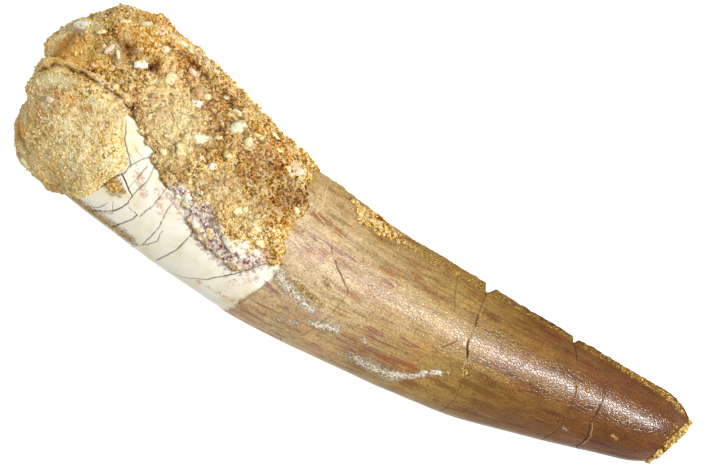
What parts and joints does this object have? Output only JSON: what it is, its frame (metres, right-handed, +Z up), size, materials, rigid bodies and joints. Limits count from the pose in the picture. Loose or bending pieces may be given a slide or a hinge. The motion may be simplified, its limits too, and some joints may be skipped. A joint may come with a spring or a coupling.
{
  "type": "fossil tooth",
  "caption": "Long curved dinosaur tooth lying on its side, root wrapped in sandstone, crown bare with a keel and a broken tip.",
  "frame": {"origin": "middle of the bounding box seen from above, on the surface that the tooth lies on", "axes": "+X from the root to the tip, +Y towards the hollow edge with the keel, +Z up out of the side that the picture shows"},
  "size_m": [0.1199, 0.0344, 0.0274],
  "materials": {
    "tooth_enamel_and_dentine": "fossil enamel, grey beige at the root to brown at the tip, satin to glossy; bare root dentine cream white and matt",
    "crust_sandstone": "coarse iron-stained sandstone, ochre to brown, rough, with pale bone chips",
    "lump_sandstone": "paler yellow sandstone, rough",
    "ridge_sand": "cemented golden sand, rough",
    "tip_sand": "cemented golden sand, rough"
  },
  "bodies": {
    "root": {"tooth": "tooth_enamel_and_dentine", "root_crust": "crust_sandstone", "root_lump": "lump_sandstone", "ridge_patch": "ridge_sand", "tip_patch": "tip_sand"}
  },
  "joints": []
}
